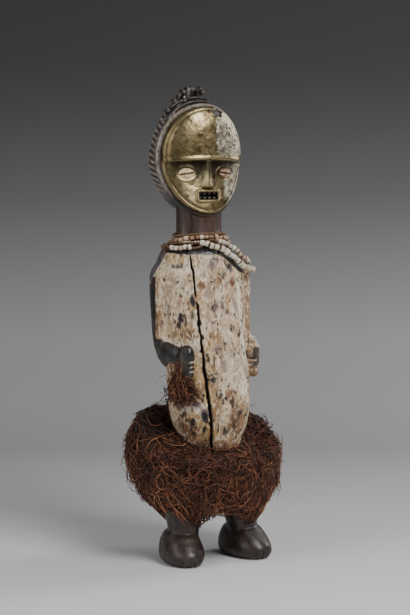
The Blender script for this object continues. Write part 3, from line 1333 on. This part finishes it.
def strands(name, paths, radii, tones, material):
    """Many thin fibres as three-sided tubes, from paths shaped (fibre, point, 3)."""
    count, steps, _ = paths.shape
    ahead = np.gradient(paths, axis=1)
    ahead /= np.linalg.norm(ahead, axis=2, keepdims=True) + 1e-9
    guide = np.array([0.35, 0.25, 0.9])
    side = np.cross(ahead, guide)
    side /= np.linalg.norm(side, axis=2, keepdims=True) + 1e-9
    top = np.cross(ahead, side)
    turn = np.radians([90, 210, 330])
    taper = np.interp(np.linspace(0, 1, steps), [0, 0.1, 0.8, 1], [0.7, 1, 1, 0.35])
    size = radii[:, None] * taper[None, :]
    ring = paths[:, :, None, :] + size[:, :, None, None] * (
        np.cos(turn)[None, None, :, None] * side[:, :, None, :] + np.sin(turn)[None, None, :, None] * top[:, :, None, :])
    base = (np.arange(count) * steps * 3)[:, None, None]
    i = np.arange(steps - 1)[None, :, None] * 3
    j = np.arange(3)[None, None, :]
    n = (j + 1) % 3
    quads = np.stack([base + i + j, base + i + n, base + i + 3 + n, base + i + 3 + j], -1).reshape(-1, 4)
    first = base[:, 0, 0]
    last = first + (steps - 1) * 3
    caps = np.concatenate([np.stack([first + 2, first + 1, first], -1), np.stack([last, last + 1, last + 2], -1)])
    obj = new_mesh(name, to_blender(ring.reshape(-1, 3)), [quads, caps])
    paint(obj, "tone", np.repeat(tones, steps * 3))
    obj.data.materials.append(material)
    return obj


def skirt_form(x, d, z):
    lower = SKIRT_LEFT_DROP * smooth(x, -10, 60)
    forward, half_wide, half_deep = between(SKIRT_STATIONS, z + lower)
    around = (np.hypot(x / half_wide, (d - forward) / half_deep) - 1) * half_deep
    return np.maximum(around, (z + 0.4 * lower - np.interp(d, *SKIRT_TOP)) * 0.8)


class Guide:
    """Distances to the skirt's surface and their slopes, for fibres to follow."""

    def __init__(self, form, low, high, cell):
        self.field = Field(low, high, cell)
        self.field.add(form, low, high)
        self.slopes = np.gradient(self.field.values, cell)

    def sample(self, points):
        at = (points - self.field.low) / self.field.cell
        at = np.clip(at, 0, np.array(self.field.values.shape) - 1.001)
        low = at.astype(int)
        part = at - low
        values = 0
        for corner in range(8):
            bits = np.array([(corner >> k) & 1 for k in range(3)])
            weight = np.prod(np.where(bits, part, 1 - part), axis=1)
            i, j, k = (low + bits).T
            values = values + weight * self.field.values[i, j, k]
        i, j, k = low.T
        slope = np.stack([g[i, j, k] for g in self.slopes], -1)
        return values, slope / (np.linalg.norm(slope, axis=1, keepdims=True) + 1e-6)

    def scatter(self, rng, count, level):
        """Random points spread evenly over the surface."""
        low, size = self.field.low, np.array(self.field.values.shape) * self.field.cell
        points = low + size * rng.uniform(0, 1, (count * 40, 3))
        values, _ = self.sample(points)
        return points[np.abs(values - level) < 4][:count]

    def settle(self, points, level):
        """Points moved onto their levels above the surface, and which of them came to rest there."""
        for _ in range(8):
            values, out = self.sample(points)
            points = points + out * np.clip(level - values, -5, 5)[:, None]
        values, _ = self.sample(points)
        return points, np.abs(values - level) < 2


def grow(guide, rng, start, heading, level, steps, length, curl, fall, loft):
    """Fibres that run over the guide's surface, each at its own level above it, and rise off it."""
    count = len(start)
    at, way = start.copy(), heading.copy()
    stride = (length / (steps - 1))[:, None]
    bend = rng.normal(0, curl, (count, 1))
    path = [at]
    for _ in range(steps - 1):
        _, out = guide.sample(at)
        way = way + np.cross(out, way) * (bend + rng.normal(0, 0.35 * curl + 0.05, (count, 1)))
        way = way + rng.normal(0, 0.12, (count, 3))
        way[:, 2] -= fall
        way = way - 0.9 * out * np.sum(way * out, axis=1, keepdims=True)
        way = way / (np.linalg.norm(way, axis=1, keepdims=True) + 1e-6)
        at = at + way * stride
        values, out = guide.sample(at)
        level = level + loft / (steps - 1)
        at = at + out * np.clip(level - values, -2.5, 2.5)[:, None]
        path.append(at)
    return np.stack(path, 1)


def clear_of_body(paths, deepest=7.0, margin=0.8):
    """Moves fibre points just inside the torso or a leg out of it, and finds the fibres that lie deeper."""
    keep = np.ones(len(paths), bool)
    for _ in range(2):
        for form, scale in ((torso_form, 1.0), (leg_form(RIGHT), 1.0), (leg_form(LEFT), 1.0)):
            x, d, z = paths[..., 0], paths[..., 1], paths[..., 2]
            value = form(x, d, z)
            slope = np.stack([form(x + 1, d, z) - value, form(x, d + 1, z) - value, form(x, d, z + 1) - value], -1)
            slope /= np.linalg.norm(slope, axis=-1, keepdims=True) + 1e-6
            keep &= value.min(axis=1) > -deepest
            paths = paths + slope * np.clip(margin - value, 0, deepest)[..., None]
    return paths, keep


RAFFIA_LAYERS = [
    # name, fibres, levels, lengths, curl, fall, greatest rise, lowest start, tone, thickness, seed
    ("raffia_under", 2400, (-9, -4), (40, 80), 0.12, 0.10, 3, 92, 0.20, (0.5, 0.9), 41),
    ("raffia_tangled", 2800, (-6, 1), (30, 75), 0.15, 0.06, 9, 100, 0.42, (0.5, 0.95), 42),
    ("raffia_curled", 1500, (-3, 2), (22, 50), 0.42, 0.0, 13, 104, 0.45, (0.4, 0.75), 43),
    ("raffia_hanging", 1500, (-7, 1), (35, 80), 0.08, 0.22, 6, 80, 0.62, (0.5, 1.0), 44),
    ("raffia_stray", 420, (1, 5), (30, 75), 0.40, 0.0, 9, 92, 0.50, (0.3, 0.5), 45),
    ("raffia_fringe", 560, (-14, 0), (35, 70), 0.08, 0.45, 4, 74, 0.62, (0.5, 1.0), 46),
]


def add_skirt(material):
    guide = Guide(skirt_form, (-138, -108, 34), (138, 132, 228), 3.0)
    pieces = [add_skirt_core(material)]
    for name, count, levels, lengths, curl, fall, rise, lowest, tone, thickness, seed in RAFFIA_LAYERS:
        rng = np.random.default_rng(seed)
        start = guide.scatter(rng, int(count * 2), np.mean(levels))
        lobes = np.exp(-(((np.abs(start[:, 0]) - 45) / 22) ** 2))
        if fall > 0.2:
            start[:, 2] = lowest - 12 * lobes + 60 * rng.uniform(0, 1, len(start)) ** 0.7
        keep = (start[:, 2] > lowest + rng.uniform(-8, 14, len(start)) - 14 * lobes) & (start[:, 2] < 204)
        keep &= torso_form(*start.T) > -3
        start = start[keep]
        level = rng.uniform(*levels, len(start))
        start, settled = guide.settle(start, level)
        start, level = start[settled], level[settled]
        heading = rng.normal(0, 1, start.shape)
        heading[:, 2] -= 1.6 if fall > 0.2 else 0.3
        length = rng.uniform(*lengths, len(start))
        loft = rise * rng.uniform(0, 1, len(start)) ** 2
        paths = grow(guide, rng, start, heading, level, 10, length, curl, fall, loft)
        paths, keep = clear_of_body(paths)
        low = SKIRT_LOW[0] - SKIRT_LOW[1] * np.exp(-(((np.abs(paths[..., 0]) - 45) / 20) ** 2))
        low = low - 14 + 22 * rng.uniform(0, 1, (len(paths), 1))
        paths[..., 2] = np.where(paths[..., 2] < low, low - (low - paths[..., 2]) * 0.3, paths[..., 2])
        paths = paths[keep][:count]
        dark = 0.3 * smooth(paths[:, 5, 2], 155, 190)
        bright = rng.uniform(0, 1, len(paths)) < 0.22
        tones = np.clip(rng.normal(tone - 0.1, 0.2, len(paths)) + 0.42 * bright - dark, 0, 1)
        pieces.append(strands(name, paths, rng.uniform(*thickness, len(paths)), tones, material))
    return pieces


def add_skirt_core(material):
    """The dense dark middle of the skirt, where single fibres can't be told apart."""
    low, high = (-112, -84, 84), (112, 106, 210)
    field = Field(low, high, 3.0)

    def form(x, d, z):
        lumps = 3.0 * noise(x, d, z, 14, 51) + 1.5 * noise(x, d, z, 6, 52)
        floor = 122 + 9 * noise(x, d, 0 * z, 18, 53) - z
        return np.maximum(skirt_form(x, d, z) + 11 + lumps, floor)
    field.add(form, low, high)
    points, triangles, quads = field.surface(0.0)
    obj = new_mesh("raffia_core", to_blender(points), [triangles, quads])
    paint(obj, "tone", np.full(len(points), 0.0))
    obj.data.materials.append(material)
    return obj


def add_wrist_raffia(material):
    """A tangle of fibres that hangs below the right hand, with loops round the wrist."""
    rng = np.random.default_rng(61)
    count, steps = 640, 11
    start = np.stack([rng.normal(-7, 5, count), rng.normal(0, 2.5, count), rng.uniform(-3, 9, count)], -1)
    end = start + np.stack([rng.normal(3, 9, count), rng.normal(0, 4, count), rng.normal(-17, 8, count)], -1)
    middle = (start + end) / 2 + rng.normal(0, 6, (count, 3))
    wrist = np.arange(count) < 60
    start[wrist] += np.array([-3, 1, 26]) + rng.normal(0, 2, (60, 3))
    middle[wrist] += np.array([-3, 4, 14])
    t = np.linspace(0, 1, steps)[None, :, None]
    path = (1 - t) ** 2 * start[:, None] + 2 * t * (1 - t) * middle[:, None] + t**2 * end[:, None]
    turns = rng.uniform(1.0, 2.6, (count, 1, 1))
    phase = rng.uniform(0, 2 * np.pi, (count, 1, 3))
    path = path + rng.uniform(1, 4, (count, 1, 1)) * np.sin(2 * np.pi * turns * t + phase) * np.array([1, 0.6, 1])
    along, out, up = path[..., 0], path[..., 1], path[..., 2]
    c = WRIST_RAFFIA
    x = c["x"] + along * math.cos(HAND_TURN) - out * math.sin(HAND_TURN)
    d = c["forward"] + along * math.sin(HAND_TURN) + out * math.cos(HAND_TURN)
    z = c["z"] + up
    surface = torso_front(np.clip(x, -54, 0), z) + 1.5
    d = np.where(np.abs(x) < 54, np.maximum(d, np.minimum(surface, d + 14)), d)
    tones = np.clip(rng.normal(0.45, 0.3, count), 0, 1)
    return strands("wrist_raffia_tuft", np.stack([x, d, z], -1), rng.uniform(0.35, 0.7, count), tones, material)


# Floor, lights and camera

STAGE_TONES = [
    # run along the sweep from the figure, and the grey of the paper there
    (-0.40, 0.80), (-0.26, 0.78), (0.08, 0.67), (0.37, 0.53), (0.84, 0.40), (1.18, 0.40), (1.42, 0.37), (1.61, 0.27),
    (1.84, 0.139), (2.05, 0.078), (2.17, 0.055), (2.31, 0.048), (2.6, 0.045),
]


def add_stage():
    """A sweep of studio paper, light on the floor and dark up the wall."""
    turn_at, radius = 0.9, 0.9
    runs = np.concatenate([np.arange(-3, turn_at, 0.06), np.arange(turn_at, 5, 0.04)])
    angle = np.clip((runs - turn_at) / radius, 0, np.pi / 2)
    depth = np.where(runs < turn_at, runs, turn_at + radius * np.sin(angle))
    height = radius * (1 - np.cos(angle)) + np.clip(runs - turn_at - radius * np.pi / 2, 0, None)
    across = np.array([-4.0, 4.0])
    back = np.array([-math.sin(VIEW_AZIMUTH), math.cos(VIEW_AZIMUTH), 0])
    side = np.array([math.cos(VIEW_AZIMUTH), math.sin(VIEW_AZIMUTH), 0])
    verts = depth[:, None, None] * back + across[None, :, None] * side + height[:, None, None] * np.array([0, 0, 1.0])
    stage = new_mesh("studio_sweep", verts.reshape(-1, 3), [grid_faces(len(runs), 2)])
    marks, greys = np.array(STAGE_TONES).T
    paint(stage, "grey", np.repeat(np.interp(runs, marks, greys), 2))
    n = Nodes("studio_paper")
    n.finish(n.attribute("grey"), 0.9)
    # Clear from behind, so that the paper doesn't hide the figure's back
    clear = n.tree.nodes.new("ShaderNodeBsdfTransparent")
    facing = n.tree.nodes.new("ShaderNodeNewGeometry")
    either = n.tree.nodes.new("ShaderNodeMixShader")
    n.link(facing.outputs["Backfacing"], either.inputs[0])
    n.link(n.shader.outputs[0], either.inputs[1])
    n.link(clear.outputs[0], either.inputs[2])
    n.link(either.outputs[0], n.tree.nodes["Material Output"].inputs["Surface"])
    stage.data.materials.append(n.material)
    return stage


def add_light(name, place, aim, size, power, colour=(1, 1, 1)):
    light = bpy.data.lights.new(name, "AREA")
    light.shape = "RECTANGLE"
    light.size, light.size_y = size
    light.energy = power
    light.color = colour
    obj = bpy.data.objects.new(name, light)
    obj.location = place
    obj.rotation_euler = (Vector(aim) - Vector(place)).to_track_quat("-Z", "Y").to_euler()
    bpy.context.scene.collection.objects.link(obj)


def view_point(right, toward, height):
    """A place given from the camera's side: right of the figure, toward the camera, and up."""
    c, s = math.cos(VIEW_AZIMUTH), math.sin(VIEW_AZIMUTH)
    return (right * c + toward * s, right * s - toward * c, height)


def add_lights():
    add_light("key", view_point(1.1, 1.3, 1.9), (0, 0, 0.40), (1.0, 1.4), 46)
    add_light("fill", view_point(-1.8, 1.2, 1.2), (0, 0, 0.35), (1.4, 1.8), 20)
    add_light("rim", view_point(1.6, -0.9, 1.3), (0, 0, 0.45), (0.6, 1.4), 16)
    world = bpy.data.worlds.new("studio")
    bpy.context.scene.world = world
    world.use_nodes = True
    background = world.node_tree.nodes["Background"]
    background.inputs["Color"].default_value = (0.5, 0.5, 0.52, 1)
    background.inputs["Strength"].default_value = 0.25


def add_camera():
    camera = bpy.data.cameras.new("view")
    camera.sensor_fit = "VERTICAL"
    camera.sensor_height = SENSOR
    camera.lens = FOCAL_LENGTH
    camera.clip_end = 50
    obj = bpy.data.objects.new("view", camera)
    back = Vector((math.sin(VIEW_AZIMUTH), -math.cos(VIEW_AZIMUTH), 0))
    across = Vector((math.cos(VIEW_AZIMUTH), math.sin(VIEW_AZIMUTH), 0))
    neck = Vector((0, NECK_Y * MM, 0))
    obj.location = neck + back * VIEW_DISTANCE + Vector((0, 0, VIEW_HEIGHT))
    target = neck + across * VIEW_TARGET_SHIFT + Vector((0, 0, VIEW_TARGET_HEIGHT))
    obj.rotation_euler = (target - obj.location).to_track_quat("-Z", "Y").to_euler()
    bpy.context.scene.collection.objects.link(obj)
    bpy.context.scene.camera = obj


# Scene

add_camera()
add_stage()
add_lights()

wood = wood_material()
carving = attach(add_figure(wood), "root")
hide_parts("figure")
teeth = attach(add_teeth(wood), "root")
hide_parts("figure")

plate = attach(add_face_plate(brass_material()), "root")
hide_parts("face_plate")

for name, side, slot_name, stained in (
    ("cowrie_right", RIGHT, "cowrie_shell", False),
    ("cowrie_left", LEFT, "worn_cowrie_shell", True),
):
    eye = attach(add_cowrie(name + "_shell", side, shell_material(slot_name, stained)), "root")
    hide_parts(name)

cord = cord_material()
for node, string in STRINGS.items():
    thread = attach(add_tube(node + "_thread", string_path(string)[0], string["thread"], cord, 10, 0.09), "root")
    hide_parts(node)

rose = bead_material("rose_beads", (0.22, 0.09, 0.045), (0.48, 0.29, 0.17), (0.70, 0.58, 0.42), 0.5)
white = bead_material("white_beads", (0.30, 0.16, 0.09), (0.56, 0.44, 0.30), (0.80, 0.71, 0.56), 0.45)
bead_rows = [
    ("bead_strand_rose", [0.15, 0.35, 0.5, 0.8, 0.95], rose, "rose_beads", 71),
    ("bead_strand_small", [0.6, 0.75, 0.9], white, "white_beads", 72),
    ("bead_strand_white", [0.55, 0.75, 0.9, 1.0], white, "white_beads", 73),
    ("bead_strand_low", [0.1, 0.45, 0.7, 0.8, 0.9], white, "white_beads", 74),
]
for node, tones, material, slot_name, seed in bead_rows:
    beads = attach(add_beads(node + "_beads", STRINGS[node], tones, material, seed), "root")
    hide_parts(node)

raffia = raffia_material()
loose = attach(add_loose_threads(cord), "root")
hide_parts("bead_strand_low")
for piece in add_skirt(raffia):
    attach(piece, "root")
    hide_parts("raffia_skirt")
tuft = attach(add_wrist_raffia(raffia), "root")
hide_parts("wrist_raffia")
